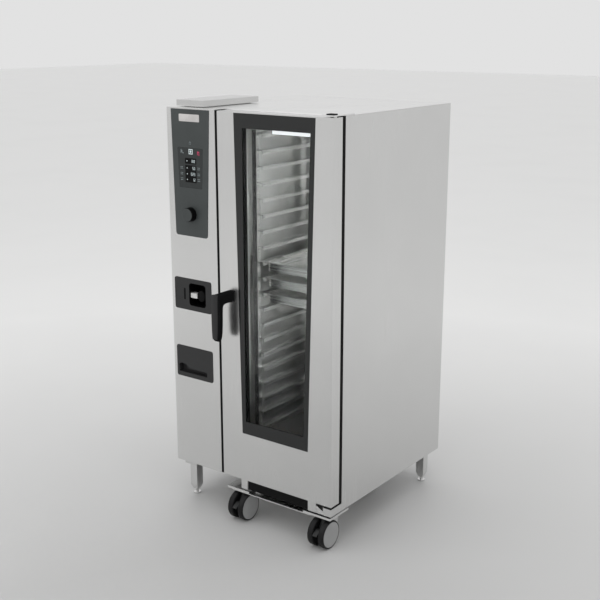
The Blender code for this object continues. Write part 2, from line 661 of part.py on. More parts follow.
def build_gasket():
    """The seal round the cavity's mouth; its lower run is thin, to let the trolley's riser pass."""
    outer = ((354.0, 828.0), (219.0, 1771.0))
    band = 13.0
    gasket = box("door_gasket", outer[0], (58.0 + GAP + 0.2, 80.0 - GAP), outer[1], RUBBER)
    cut(gasket,
        helper_box("gasket_inside", (outer[0][0] + band, outer[0][1] - band), (50.0, 90.0),
                   (outer[1][0] + band, outer[1][1] - band)),
        helper_box("gasket_relief", (380.0, 801.0), (67.5, 90.0), (200.0, 250.0)))


# ---------------------------------------------------------------- trolley

def build_trolley():
    deck_top = DECK_BOTTOM + 4.0
    front, back = -5.0, 132.0
    ear_right = WIDTH - 0.5
    rack_span = (386.0, 795.0)
    base = box("trolley_base", (345.0, DECK_RIGHT), (front, 700.0), (DECK_BOTTOM, deck_top), CAVITY_STEEL)
    for side, ear, step in (("left", (316.0, 440.0), (436.0, 440.0)), ("right", (735.0, ear_right), (735.0, 739.0))):
        add(base,
            helper_box("ear_" + side, ear, (front, back), (141.0, 145.0)),
            helper_box("lip_" + side, ear, (front, front + 3.0), (deck_top - LAP, 145.0)),
            helper_box("step_" + side, step, (front, back), (DECK_BOTTOM, 145.0)))
    add(base, helper_box("lip_side", (ear_right - 3.0, ear_right), (front, back), (deck_top - LAP, 145.0)))
    leg_x, leg_y = LEG_PLACES["front_right"]
    cut(base, helper_box("leg_notch", (leg_x - 22.0, leg_x + 23.0), (leg_y - 24.0, back + 10.0), (137.0, 150.0)))
    add(base,
        helper_box("riser", rack_span, (68.0, 72.0), (DECK_BOTTOM, 240.0)),
        helper_box("rack_deck", rack_span, (71.0, 662.0), (212.0, 216.0)))
    build_rack_side("left", -1)
    build_rack_side("right", 1)
    for number, level in enumerate(PAN_LEVELS, start=1):
        build_pan(f"gn_pan_{number}", LOWEST_LEVEL + level * LEVEL_PITCH)
    for corner in CASTER_X:
        build_caster(corner)


def build_rack_side(name, sign):
    """Two posts, a top bar and a ladder of angle runners, all welded into one side."""
    def span(inner, outer):
        ends = (RACK_MIDDLE + sign * inner, RACK_MIDDLE + sign * outer)
        return (min(ends), max(ends))

    post = span(182.5, 204.5)
    low = 216.0 + GAP
    high = 1722.0
    side = box("rack_side_" + name, post, (110.0, 132.0), (low, high), CAVITY_STEEL)
    add(side,
        helper_box("rack_post_rear_" + name, post, (490.0, 512.0), (low, high)),
        helper_box("rack_bar_" + name, post, (110.0, 512.0), (high - 14.0, high)))
    inner, outer, thin, lip = 152.5, 184.5, 1.5, 15.0
    section = [(inner, -lip), (inner + thin, -lip), (inner + thin, -thin), (outer, -thin), (outer, 0), (inner, 0)]
    outline = [(RACK_MIDDLE + sign * u, LOWEST_LEVEL + v) for u, v in section]
    runners = plate("runners_" + name, outline, "y", (114.0, 655.0), collection=CUTTERS)
    ladder = runners.modifiers.new("levels", "ARRAY")
    ladder.count = LEVELS
    ladder.use_relative_offset = False
    ladder.use_constant_offset = True
    # the outline lies in the mesh's own x-y plane, so its y axis is the world's z axis
    ladder.constant_offset_displace = (0, LEVEL_PITCH * MM, 0)
    add(side, runners)


def build_pan(name, level):
    """A gastronorm 1/1 container, 40 deep, hanging by its flange on two runners."""
    rim = level + GAP
    corners = rectangle((428.0, 118.0), (753.0, 648.0))
    pan = plate(name, rounded(corners, 12.0, steps=3), "z", (rim, rim + 1.5), CAVITY_STEEL)
    body = plate(name + "_body", rounded(rectangle((442.0, 132.0), (739.0, 634.0)), 22.0), "z",
                 (rim - 38.0, rim + 1.0), collection=CUTTERS)
    hollow = plate(name + "_hollow", rounded(rectangle((443.5, 133.5), (737.5, 632.5)), 20.5), "z",
                   (rim - 36.5, rim + 9.0), collection=CUTTERS)
    add(pan, body)
    cut(pan, hollow)


def build_caster(corner):
    """A twin-wheel swivel caster: a fork, a pair of wheels on one axle and, in front, a brake."""
    x, y = CASTER_X[corner], CASTER_Y[corner]
    axle_y, axle_z = y - CASTER_TRAIL, WHEEL_RADIUS
    swivel = mount_point("swivel_" + corner, (x, y, 120.0))
    fork = rod("caster_fork_" + corner, "z", (x, y), 30.0, (126.0, DECK_BOTTOM - GAP), BLACK)
    web = [(axle_y - 17.0, axle_z - 12.0), (axle_y + 15.0, axle_z - 17.0), (y + 22.0, 88.0),
           (y + 24.0, 127.0), (y - 24.0, 127.0), (axle_y - 17.0, axle_z + 24.0)]
    add(fork, plate("web_" + corner, rounded(web, 6.0, steps=2), "x", (x - 11.0, x + 11.0), collection=CUTTERS))
    cut(fork, rod("axle_hole_" + corner, "x", (axle_y, axle_z), 6.0 + GAP, (x - 20, x + 20), collection=CUTTERS))
    hang(fork, swivel)
    axle = mount_point("axle_" + corner, (x, axle_y, axle_z), swivel)
    tread = WHEEL_RADIUS
    half = [(42.0, 0), (42.0, 54.0), (41.0, tread - 3.0), (38.0, tread), (17.0, tread), (13.0, tread - 4.0),
            (13.0, 6.0)]
    profile = [(x + u, r) for u, r in half] + [(x - u, r) for u, r in reversed(half)]
    hang(turned("caster_wheels_" + corner, "x", (axle_y, axle_z), profile, RUBBER, sides=24), axle)
    if corner.startswith("front"):
        lever = [(axle_y - 66.0, 71.0), (axle_y - 62.0, 66.0), (axle_y - 24.0, 72.0), (axle_y - 20.0, 84.0),
                 (axle_y - 28.0, 90.0), (axle_y - 40.0, 88.0)]
        pedal = plate("brake_pedal_" + corner, rounded(lever, 3.0, steps=2), "x", (x - 11.0, x + 11.0), BLACK)
        hang(pedal, mount_point("pedal_axis_" + corner, (x, axle_y - 26.0, 82.0), swivel))


def main():
    build_column_front()
    build_side_panels()
    build_top_and_rear()
    build_base()
    build_front_frame()
    build_cavity()
    build_fans()
    build_steam_generator()
    build_control_panel()
    build_shower_panel()
    build_drawer()
    build_door()
    build_trolley()
    CUTTERS.hide_render = True


main()
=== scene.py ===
"""Looks of the combi steamer oven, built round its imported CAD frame.

Positions are worked out from the frame. mm() takes millimetres from the casing's
left side (x), the door's face (y, growing towards the back) and the floor (z),
the same way as the CAD source does.
"""
import math

import bmesh
import bpy
from mathutils import Matrix, Vector


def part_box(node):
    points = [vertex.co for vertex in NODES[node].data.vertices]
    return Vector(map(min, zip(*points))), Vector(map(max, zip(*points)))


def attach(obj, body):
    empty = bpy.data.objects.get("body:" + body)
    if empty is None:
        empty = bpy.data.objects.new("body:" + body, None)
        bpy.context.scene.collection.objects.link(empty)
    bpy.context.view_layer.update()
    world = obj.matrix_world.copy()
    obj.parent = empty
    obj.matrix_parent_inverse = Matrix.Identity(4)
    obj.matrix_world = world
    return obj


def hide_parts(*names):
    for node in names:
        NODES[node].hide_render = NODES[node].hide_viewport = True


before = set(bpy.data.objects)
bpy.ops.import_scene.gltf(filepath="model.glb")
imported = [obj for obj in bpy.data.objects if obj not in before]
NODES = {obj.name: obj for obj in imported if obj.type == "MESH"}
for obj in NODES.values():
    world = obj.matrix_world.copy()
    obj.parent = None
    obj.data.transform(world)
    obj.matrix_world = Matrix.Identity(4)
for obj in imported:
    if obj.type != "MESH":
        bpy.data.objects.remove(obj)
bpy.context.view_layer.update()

MM = 0.001
TOUCH = 1e-6     # metres within which two places count as one
CASING_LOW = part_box("side_panel_left")[0]
DOOR_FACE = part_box("column_front")[0].y


def mm(x, y, z):
    """A point in millimetres from the casing's left side, the door's face and the floor."""
    return Vector((CASING_LOW.x + x * MM, DOOR_FACE + y * MM, z * MM))


def spot(node):
    """The middle of a CAD node's box."""
    low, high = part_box(node)
    return (low + high) / 2


# ---------------------------------------------------------------- materials

GLASS_BODY = (0.02, 0.024, 0.023)
GLASS_IOR = 1.52
GLASS_ROUGHNESS = (0.02, 0.07)


class Finish:
    """Builds one material out of a Principled shader and a few texture nodes."""

    def __init__(self, name, colour, roughness, metallic=0.0, shine=0.5):
        self.material = bpy.data.materials.new(name)
        self.material.use_nodes = True
        self.tree = self.material.node_tree
        self.shader = self.tree.nodes["Principled BSDF"]
        self.shader.inputs["Base Color"].default_value = (*colour, 1)
        self.shader.inputs["Roughness"].default_value = roughness
        self.shader.inputs["Metallic"].default_value = metallic
        self.shader.inputs["Specular IOR Level"].default_value = shine
        self.colour = colour
        self.place = self.tree.nodes.new("ShaderNodeTexCoord").outputs["Object"]

    def link(self, source, target):
        self.tree.links.new(source, target)

    def noise(self, scale, detail=3.0, stretch=(1, 1, 1), roughness=0.6):
        """A noise value from 0 to 1; stretch above 1 makes it finer along that axis."""
        mapping = self.tree.nodes.new("ShaderNodeMapping")
        mapping.inputs["Scale"].default_value = stretch
        self.link(self.place, mapping.inputs["Vector"])
        texture = self.tree.nodes.new("ShaderNodeTexNoise")
        texture.inputs["Scale"].default_value = scale
        texture.inputs["Detail"].default_value = detail
        texture.inputs["Roughness"].default_value = roughness
        self.link(mapping.outputs["Vector"], texture.inputs["Vector"])
        return texture.outputs["Fac"]

    def spread(self, value, low, high, start=0.3, end=0.7):
        """A value mapped from start..end to low..high."""
        step = self.tree.nodes.new("ShaderNodeMapRange")
        for name, number in (("From Min", start), ("From Max", end), ("To Min", low), ("To Max", high)):
            step.inputs[name].default_value = number
        self.link(value, step.inputs["Value"])
        return step.outputs["Result"]

    def tint(self, value, low, high, start=0.3, end=0.7):
        """Base colour between low and high times the finish's own colour."""
        ramp = self.tree.nodes.new("ShaderNodeValToRGB")
        ramp.color_ramp.elements[0].position = start
        ramp.color_ramp.elements[1].position = end
        for element, share in zip(ramp.color_ramp.elements, (low, high)):
            element.color = (*[min(1.0, channel * share) for channel in self.colour], 1)
        self.link(value, ramp.inputs["Fac"])
        self.link(ramp.outputs["Color"], self.shader.inputs["Base Color"])

    def rough(self, value, low, high):
        self.link(self.spread(value, low, high), self.shader.inputs["Roughness"])

    def bump(self, value, depth, strength=0.5):
        step = self.tree.nodes.new("ShaderNodeBump")
        step.inputs["Strength"].default_value = strength
        step.inputs["Distance"].default_value = depth
        self.link(value, step.inputs["Height"])
        self.link(step.outputs["Normal"], self.shader.inputs["Normal"])

    def both(self, first, second, share=0.5):
        """The two values mixed."""
        mix = self.tree.nodes.new("ShaderNodeMix")
        mix.inputs["Factor"].default_value = share
        self.link(first, mix.inputs["A"])
        self.link(second, mix.inputs["B"])
        return mix.outputs["Result"]


def brushed(name, colour, grain, roughness=(0.20, 0.29), clouds=(0.95, 1.03)):
    """Brushed sheet steel: grain is how much finer the brushing is along each axis."""
    finish = Finish(name, colour, roughness[0], metallic=1.0)
    lines = finish.noise(1.0, detail=4.0, stretch=grain)
    smudges = finish.noise(3.2, detail=5.0)
    finish.rough(finish.both(lines, smudges, 0.35), *roughness)
    finish.tint(finish.both(smudges, lines, 0.45), *clouds)
    finish.bump(lines, 0.00006, 0.25)
    return finish.material


def moulded(name, colour, roughness=(0.40, 0.52), grain=1900.0, depth=0.00008, shine=0.35):
    """Moulded plastic with a fine spark-eroded grain."""
    finish = Finish(name, colour, roughness[0], shine=shine)
    pebbles = finish.noise(grain, detail=2.0)
    haze = finish.noise(9.0, detail=4.0)
    finish.rough(haze, *roughness)
    finish.tint(haze, 0.90, 1.10)
    finish.bump(pebbles, depth, 0.35)
    return finish.material


def glossy(name, colour, roughness=(0.06, 0.14)):
    finish = Finish(name, colour, roughness[0])
    haze = finish.noise(14.0, detail=5.0)
    finish.rough(haze, *roughness)
    finish.tint(haze, 0.92, 1.08)
    return finish.material


def cast(name, colour):
    finish = Finish(name, colour, 0.5, metallic=0.85)
    grains = finish.noise(420.0, detail=5.0)
    finish.rough(finish.noise(30.0), 0.42, 0.62)
    finish.tint(grains, 0.86, 1.10)
    finish.bump(grains, 0.0003, 0.4)
    return finish.material


def glass(name, tint, haze):
    """A thin pane: clear, slightly tinted, and mirror-like at a slant."""
    finish = Finish(name, GLASS_BODY, GLASS_ROUGHNESS[0])
    finish.shader.inputs["IOR"].default_value = GLASS_IOR
    finish.rough(finish.noise(6.0, detail=5.0, roughness=0.5), *GLASS_ROUGHNESS)
    clear = finish.tree.nodes.new("ShaderNodeBsdfTransparent")
    clear.inputs["Color"].default_value = (*tint, 1)
    mix = finish.tree.nodes.new("ShaderNodeMixShader")
    mix.inputs["Fac"].default_value = haze
    finish.link(clear.outputs["BSDF"], mix.inputs[1])
    finish.link(finish.shader.outputs["BSDF"], mix.inputs[2])
    finish.link(mix.outputs["Shader"], finish.tree.nodes["Material Output"].inputs["Surface"])
    return finish.material


def lamp(name, colour, strength):
    finish = Finish(name, colour, 0.35)
    finish.shader.inputs["Emission Color"].default_value = (*colour, 1)
    finish.shader.inputs["Emission Strength"].default_value = strength
    finish.rough(finish.noise(60.0), 0.30, 0.45)
    return finish.material


UPRIGHT = (900.0, 900.0, 3.0)     # brushing that runs up and down
SIDEWAYS = (3.0, 3.0, 900.0)      # brushing that runs across
LENGTHWISE = (900.0, 3.0, 900.0)  # brushing that runs front to back

STEEL = brushed("steel_upright", (0.715, 0.715, 0.71), UPRIGHT)
# a lighter copy of the brushed steel, brushed front to back: its lighter tone is painted light for the
# top's brighter look from above
STEEL_TOP_LIT = brushed("steel_top_painted_light", (0.84, 0.84, 0.835), LENGTHWISE, roughness=(0.24, 0.34))
# a darker copy of the brushed steel, brushed across: its darker tone is painted shade, matched to the
# flue box's shaded side
STEEL_SHADED = brushed("steel_sideways_painted_shade", (0.67, 0.67, 0.665), SIDEWAYS)
CAVITY = brushed("cavity_steel", (0.60, 0.60, 0.595), UPRIGHT, roughness=(0.24, 0.36),
                 clouds=(0.80, 1.05))
RACK = brushed("rack_steel", (0.78, 0.78, 0.775), LENGTHWISE, roughness=(0.20, 0.32))
PAN = brushed("pan_steel", (0.90, 0.90, 0.89), SIDEWAYS, roughness=(0.20, 0.32))
PANEL = moulded("panel_plastic", (0.058, 0.066, 0.066))
PANEL_GREY = moulded("panel_plastic_grey", (0.026, 0.0265, 0.027))
SCREEN = glossy("screen_glass", (0.020, 0.025, 0.025))
BLACK = moulded("black_plastic", (0.0200, 0.0203, 0.0210), roughness=(0.36, 0.48), grain=1400.0)
# a darker copy of the black plastic: painted shade for the handle lever's sides
HANDLE_SHADED = moulded("handle_painted_shade", (0.0110, 0.0112, 0.0118), roughness=(0.46, 0.58), shine=0.0)
PITCH = moulded("recess_black", (0.0030, 0.0030, 0.0032), roughness=(0.40, 0.55), shine=0.12)
RUBBER = moulded("black_rubber", (0.0034, 0.0034, 0.0034),
                 roughness=(0.66, 0.80), grain=700.0, shine=0.15)
TREAD = moulded("caster_tread", (0.0060, 0.0060, 0.0065),
                roughness=(0.40, 0.54), grain=900.0, shine=0.25)
CAP = moulded("caster_cap", (0.320, 0.322, 0.322), roughness=(0.38, 0.50), grain=1100.0)
CAST = cast("cast_aluminium", (0.45, 0.45, 0.46))
PRINT = glossy("window_print", (0.0110, 0.0120, 0.0120), roughness=(0.10, 0.18))
PANE = glass("door_pane", (0.925, 0.932, 0.929), 0.065)
INNER_PANE = glass("inner_pane", (0.94, 0.946, 0.943), 0.04)
LED = lamp("led_lens", (0.96, 0.98, 1.0), 0.9)
INK = lamp("display_ink", (0.60, 0.67, 0.68), 0.36)
INK_DIM = lamp("display_ink_dim", (0.26, 0.30, 0.31), 0.16)
INK_RED = lamp("display_ink_red", (0.42, 0.03, 0.09), 0.35)
NOZZLE = moulded("nozzle_grey", (0.70, 0.70, 0.69), roughness=(0.30, 0.40))
BRASS = brushed("brass", (0.62, 0.50, 0.27), LENGTHWISE)
BADGE = glossy("badge_enamel", (0.66, 0.64, 0.63), roughness=(0.22, 0.32))


def paint(material, *names):
    """Give carried-over CAD nodes their finish."""
    for name in names:
        slots = NODES[name].data.materials
        slots.clear()
        slots.append(material)


def soften(names, width, segments=2, angle=35):
    """Rounded edges on carried-over CAD nodes, from a modifier."""
    for name in names:
        bevel = NODES[name].modifiers.new("soft_edges", "BEVEL")
        bevel.width = width * MM
        bevel.segments = segments
        bevel.limit_method = "ANGLE"
        bevel.angle_limit = math.radians(angle)
        bevel.use_clamp_overlap = True


# ---------------------------------------------------------------- shapes

def piece(name, shape, body, material, smooth=True, angle=35):
    """Turns a bmesh into an object that rides on a CAD body."""
    mesh = bpy.data.meshes.new(name)
    shape.to_mesh(mesh)
    shape.free()
    if smooth:
        mesh.shade_smooth()
        mesh.set_sharp_from_angle(angle=math.radians(angle))
    obj = bpy.data.objects.new(name, mesh)
    bpy.context.scene.collection.objects.link(obj)
    mesh.materials.append(material)
    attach(obj, body)
    return obj


def block(shape, low, high):
    """Adds a box between two points to a bmesh and returns its vertices."""
    made = bmesh.ops.create_cube(shape, size=1)["verts"]
    middle, size = (low + high) / 2, high - low
    for vertex in made:
        vertex.co = Vector(a * b for a, b in zip(vertex.co, size)) + middle
    return made


def bevelled(name, low, high, radius, body, material, segments=3):
    """A box with rounded edges."""
    shape = bmesh.new()
    block(shape, low, high)
    bmesh.ops.bevel(shape, geom=list(shape.edges), offset=radius * MM, segments=segments,
                    profile=0.5, affect="EDGES")
    return piece(name, shape, body, material)


def turned(name, axis, centre, profile, body, material, sides=64):
    """A turned piece from (along the axis, radius) pairs in millimetres about a centre."""
    shape = bmesh.new()
    rings = []
    for along, radius in profile:
        ring = []
        for step in range(sides):
            angle = 2 * math.pi * step / sides
            across, up = radius * MM * math.cos(angle), radius * MM * math.sin(angle)
            offset = {"x": (along * MM, across, up), "y": (across, along * MM, up),
                      "z": (across, up, along * MM)}[axis]
            ring.append(shape.verts.new(centre + Vector(offset)))
        rings.append(ring)
    skin(shape, rings)
    return piece(name, shape, body, material)


def smooth_path(points, per_span=6):
    """Points of a Catmull-Rom curve through rows of numbers."""
    made = []
    for index in range(len(points) - 1):
        around = [points[min(max(index + k, 0), len(points) - 1)] for k in (-1, 0, 1, 2)]
        for step in range(per_span):
            t = step / per_span
            made.append([0.5 * (2 * b + (c - a) * t + (2 * a - 5 * b + 4 * c - d) * t * t
                                + (3 * b - a - 3 * c + d) * t ** 3)
                         for a, b, c, d in zip(*around)])
    made.append(list(points[-1]))
    return made


def slab(name, outline, depth, body, material, radius=0.0):
    """An outline of (x, z) points in millimetres, extruded over a span of y."""
    shape = bmesh.new()
    front = [shape.verts.new(mm(x, depth[0], z)) for x, z in outline]
    face = shape.faces.new(front)
    grown = bmesh.ops.extrude_face_region(shape, geom=[face])["geom"]
    shift = Vector((0, (depth[1] - depth[0]) * MM, 0))
    for item in grown:
        if isinstance(item, bmesh.types.BMVert):
            item.co += shift
    bmesh.ops.recalc_face_normals(shape, faces=shape.faces)
    if radius:
        rim = [edge for edge in shape.edges
               if all(abs(v.co.y - mm(0, depth[0], 0).y) < TOUCH for v in edge.verts)]
        bmesh.ops.bevel(shape, geom=rim, offset=radius * MM, segments=2, profile=0.5, affect="EDGES")
    return piece(name, shape, body, material)


def round_box(left, right, low, high, radius, steps=5):
    """Outline of a rectangle with round corners."""
    corners = [(right - radius, low + radius, -90), (right - radius, high - radius, 0),
               (left + radius, high - radius, 90), (left + radius, low + radius, 180)]
    return [(x + radius * math.cos(math.radians(start + 90 * step / steps)),
             z + radius * math.sin(math.radians(start + 90 * step / steps)))
            for x, z, start in corners for step in range(steps + 1)]


def lerp(a, b, share):
    return a + (b - a) * share


def skin(shape, rings, closed=False):
    """Faces between neighbouring rings of vertices; closed joins the last ring to the first."""
    following = rings[1:] + (rings[:1] if closed else [])
    for first, second in zip(rings, following):
        for step in range(len(first)):
            after = (step + 1) % len(first)
            shape.faces.new((first[step], first[after], second[after], second[step]))
    if not closed:
        shape.faces.new(rings[0])
        shape.faces.new(rings[-1])
    bmesh.ops.recalc_face_normals(shape, faces=shape.faces)


def hoop(name, outer, inner, depth, body, material, smooth=True):
    """The band between two outlines of (x, z) points, over a span of y."""
    shape = bmesh.new()
    front, back = depth
    rings = [[shape.verts.new(mm(x, y, z)) for x, z in outline]
             for y, outline in ((front, outer), (front, inner), (back, inner), (back, outer))]
    skin(shape, rings, closed=True)
    return piece(name, shape, body, material, smooth=smooth)


# ---------------------------------------------------------------- casing

SEAL_TOP = 1804
SCREW_ROWS = 6
SCREW_LOWEST, SCREW_HIGHEST = 200.0, 1770.0
SCREW_COLUMNS = (("left", 22.0), ("right", 855.0))
SCREW_PROFILE = [(0.0, 6.5), (1.6, 6.2), (2.9, 4.4), (3.2, 1.6), (1.4, 1.2)]

# the rear panel's stubs: name, x, z, radius of the collar, finish, slot
REAR_FITTINGS = (("cable_gland", 90, 250, 21, BLACK, "black_plastic"),
                 ("inlet_cold", 165, 235, 17, BRASS, "steel"),
                 ("inlet_soft", 215, 235, 17, BRASS, "steel"),
                 ("drain_pipe", 300, 215, 29, NOZZLE, "steel"))
LOUVRES, LOUVRE_LOWEST, LOUVRE_PITCH, LOUVRE_HEIGHT = 14, 1240, 30, 7
LOUVRE_LEFT, LOUVRE_RIGHT = 60, 230


def finish_casing():
    paint(STEEL, "column_front", "side_panel_left", "side_panel_right", "rear_panel", "front_frame",
          "leg_front_left", "leg_front_right", "leg_rear_left", "leg_rear_right", "door_skin")
    # the top panel and upper hinge get the lighter steel: painted light
    paint(STEEL_TOP_LIT, "top_panel", "hinge_upper")
    # the flue box and base rails get the darker steel: painted shade
    paint(STEEL_SHADED, "flue_box", "base_rail_left", "base_rail_right")
    # painted shade: the lower hinge, in the shade under the door, is painted pitch black
    paint(PITCH, "hinge_lower")
    soften(["top_panel", "side_panel_right", "side_panel_left", "flue_box", "door_skin"], 0.6)
    soften(["leg_front_left", "leg_front_right", "leg_rear_left", "leg_rear_right"], 1.2)


def add_seams():
    """The seals beside the door, the frame's and the hinge's caps, the toe's gusset, the rear screws.

    seal_right stays behind y = 61.8, where the door's rear corner passes in mid-swing.
    """
    bevelled("seal_left", mm(279.3, 3, 194.5), mm(290.2, 78, SEAL_TOP), 1.0,
             "oven", RUBBER)
    bevelled("seal_right", mm(833, 62.6, 186), mm(876.4, 79.4, SEAL_TOP), 1.0,
             "oven", RUBBER)
    bevelled("frame_cap", mm(283, 61, 1801), mm(815, 78.7, 1805.4), 0.8, "oven", STEEL_TOP_LIT)
    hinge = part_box("hinge_upper")
    cap_low = Vector((lerp(hinge[0].x, hinge[1].x, 0.35), hinge[0].y + 2 * MM,
                      hinge[1].z - 0.2 * MM))
    cap_high = Vector((hinge[1].x - 4 * MM, lerp(hinge[0].y, hinge[1].y, 0.22),
                       hinge[1].z + 5 * MM))
    bevelled("hinge_cap", cap_low, cap_high, 1.6, "oven", PITCH)
    slab("toe_gusset", [(801.5, 150.5), (836, 150.5), (836, 166), (801.5, 184)], (0.4, 2),
         "oven", STEEL)
    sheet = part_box("rear_panel")[1].y - 8 * MM
    for side, x in SCREW_COLUMNS:
        for index in range(SCREW_ROWS):
            centre = mm(x, 0, lerp(SCREW_LOWEST, SCREW_HIGHEST, index / (SCREW_ROWS - 1)))
            centre.y = sheet
            turned(f"rear_screw_{side}_{index + 1}", "y", centre, SCREW_PROFILE,
                   "oven", STEEL_SHADED, 24)


def finish_rear():
    """Fittings on the rear panel's four stubs, and the louvres behind the control column."""
    rear = (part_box("rear_panel")[1].y - DOOR_FACE) / MM
    end, sheet = rear - 0.4, rear - 7.9
    for name, x, z, radius, material, slot in REAR_FITTINGS:
        turned("rear_" + name, "y", mm(x, 0, z),
               [(sheet, radius), (sheet + 3.0, radius), (sheet + 4.2, radius - 3), (end, radius - 3),
                (end, radius - 6), (end - 1.6, radius - 7)], "oven", material, 36)
        turned(f"rear_{name}_bore", "y", mm(x, 0, z),
               [(end - 1.5, radius - 7.5), (end - 0.9, radius - 7.5)], "oven", PITCH, 36)
    for number in range(LOUVRES):
        z = LOUVRE_LOWEST + LOUVRE_PITCH * number
        bevelled(f"rear_louvre_{number + 1}", mm(LOUVRE_LEFT, sheet - 0.1, z),
                 mm(LOUVRE_RIGHT, sheet + 1.8, z + LOUVRE_HEIGHT), 0.8,
                 "oven", PITCH, segments=2)


# ---------------------------------------------------------------- controls

# which strokes each digit has: top, upper left, upper right, middle, lower left, lower right, bottom
DIGIT_STROKES = {"0": "1110111", "1": "0010010", "2": "1011101", "5": "1101011", "8": "1111111"}
DIGIT_PITCH = 8.6
DIGITS_RIGHT = 169.5       # where the digits of a readout end
READOUTS = ((1585.0, "180"), (1555.0, "50"), (1530.0, "025"), (1506.0, "12"))
POWER_X, POWER_Z, POWER_RADIUS = 141.3, 1660, 5.0


def stroke_boxes(x, z, wide, tall, thick):
    """The seven strokes of a digit, in the order of DIGIT_STROKES."""
    half = tall / 2
    return [(x, x + wide, z + tall - thick, z + tall),
            (x, x + thick, z + half, z + tall),
            (x + wide - thick, x + wide, z + half, z + tall),
            (x, x + wide, z + half - thick / 2, z + half + thick / 2),
            (x, x + thick, z, z + half),
            (x + wide - thick, x + wide, z, z + half),
            (x, x + wide, z, z + thick)]


def ink(name, boxes, material, front=-2.55, back=-2.15):
    """Flat marks on the display, all in one piece."""
    shape = bmesh.new()
    for left, right, low, high in boxes:
        block(shape, mm(left, front, low), mm(right, back, high))
    return piece(name, shape, "oven", material, smooth=False)


def digits(text, x, z):
    boxes = []
    for index, letter in enumerate(text):
        strokes = stroke_boxes(x + index * DIGIT_PITCH, z, wide=5.8, tall=12.0, thick=1.15)
        boxes += [box for box, shown in zip(strokes, DIGIT_STROKES[letter]) if shown == "1"]
    return boxes


def finish_controls():
    paint(PANEL, "control_bezel")
    paint(PANEL_GREY, "shower_bezel", "usb_flap", "care_drawer")
    paint(PITCH, "drawer_housing")
    paint(SCREEN, "display_screen")
    soften(["control_bezel", "shower_bezel", "care_drawer"], 0.5)
    for number, (z, text) in enumerate(READOUTS, start=1):
        slab(f"readout_{number}", round_box(111, 174, z - 12.2, z + 12.2, 2), (-2.5, -2.1),
             "oven", PITCH)
        ink(f"readout_digits_{number}", digits(text, DIGITS_RIGHT - DIGIT_PITCH * len(text), z - 6.0),
            INK, front=-2.8, back=-2.45)
        turned(f"readout_light_{number}", "y", mm(122, -2.6, z), [(-0.2, 2.0), (0.2, 2.4)],
               "oven", INK, 20)
    ink("icon_mode_left", [(88, 91, 1617, 1633), (93, 96, 1620, 1629), (98, 103, 1616, 1620)], INK_DIM)
    ink("icon_mode_middle",
        [(133, 155, 1633, 1636), (133, 155, 1614, 1617), (133, 136, 1617, 1633),
         (152, 155, 1617, 1633), (139, 149, 1624, 1627), (142, 146, 1619, 1631)], INK)
    ink("icon_mode_right",
        [(181, 184, 1613, 1629), (189, 192, 1611, 1628), (184, 189, 1624, 1627)], INK_RED)
    for side, x in (("left", 84.0), ("right", 180.0)):
        marks = [(x, x + 14, z + offset, z + offset + 1.6)
                 for z, _ in READOUTS[1:] for offset in (-4, 3)]
        ink(f"icon_lines_{side}", marks, INK_DIM)
    power = [(x - 0.8, x + 0.8, z - 0.8, z + 0.8) for x, z in
             ((POWER_X + POWER_RADIUS * math.cos(math.radians(a)),
               POWER_Z + POWER_RADIUS * math.sin(math.radians(a))) for a in range(-230, 51, 10))]
    power.append((POWER_X - 0.8, POWER_X + 0.8, POWER_Z, POWER_Z + 8))
    ink("icon_power", power, INK_DIM, front=-2.25, back=-1.95)
    slab("badge_plate", round_box(82, 196, 1750, 1781, 3), (-3.0, -1.9),
         "oven", BADGE, radius=0.4)


def build_knob():
    """The dial: a dished face in the panel's grey and a ribbed black side."""
    low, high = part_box("dial_knob")
    centre = Vector((spot("dial_knob").x, DOOR_FACE, spot("dial_knob").z))
    ribs, rib_depth, sides, radius = 36, 0.35, 144, (high.x - low.x) / 2 / MM
    shape = bmesh.new()
    rings = []
    for along, share in ((-2.6, 0.96), (-3.6, 1.0), (-26.0, 0.965), (-28.5, 0.95), (-30.2, 0.92)):
        ring = []
        for step in range(sides):
            angle = 2 * math.pi * step / sides
            depth = rib_depth * (0.5 - 0.5 * math.cos(angle * ribs)) if -26 <= along <= -3.6 else 0
            reach = (radius * share - depth) * MM
            ring.append(shape.verts.new(centre + Vector((reach * math.cos(angle), along * MM,
                                                         reach * math.sin(angle)))))
        rings.append(ring)
    skin(shape, rings)
    side = piece("dial_side", shape, "dial", PITCH)
    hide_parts("dial_knob")
    turned("dial_face", "y", centre,
           [(-30.1, 28.3), (-31.4, 27.6), (-32.0, 26.0), (-31.6, 22.0), (-31.0, 12.0), (-30.9, 2.0)],
           "dial", PANEL, 96)


def recess_outline(gap):
    """The shower recess's opening, moved inwards by a gap in millimetres."""
    return round_box(112.0 + gap, 209.0 - gap, 948.0 + gap, 1050.0 - gap, 14.0 - gap)


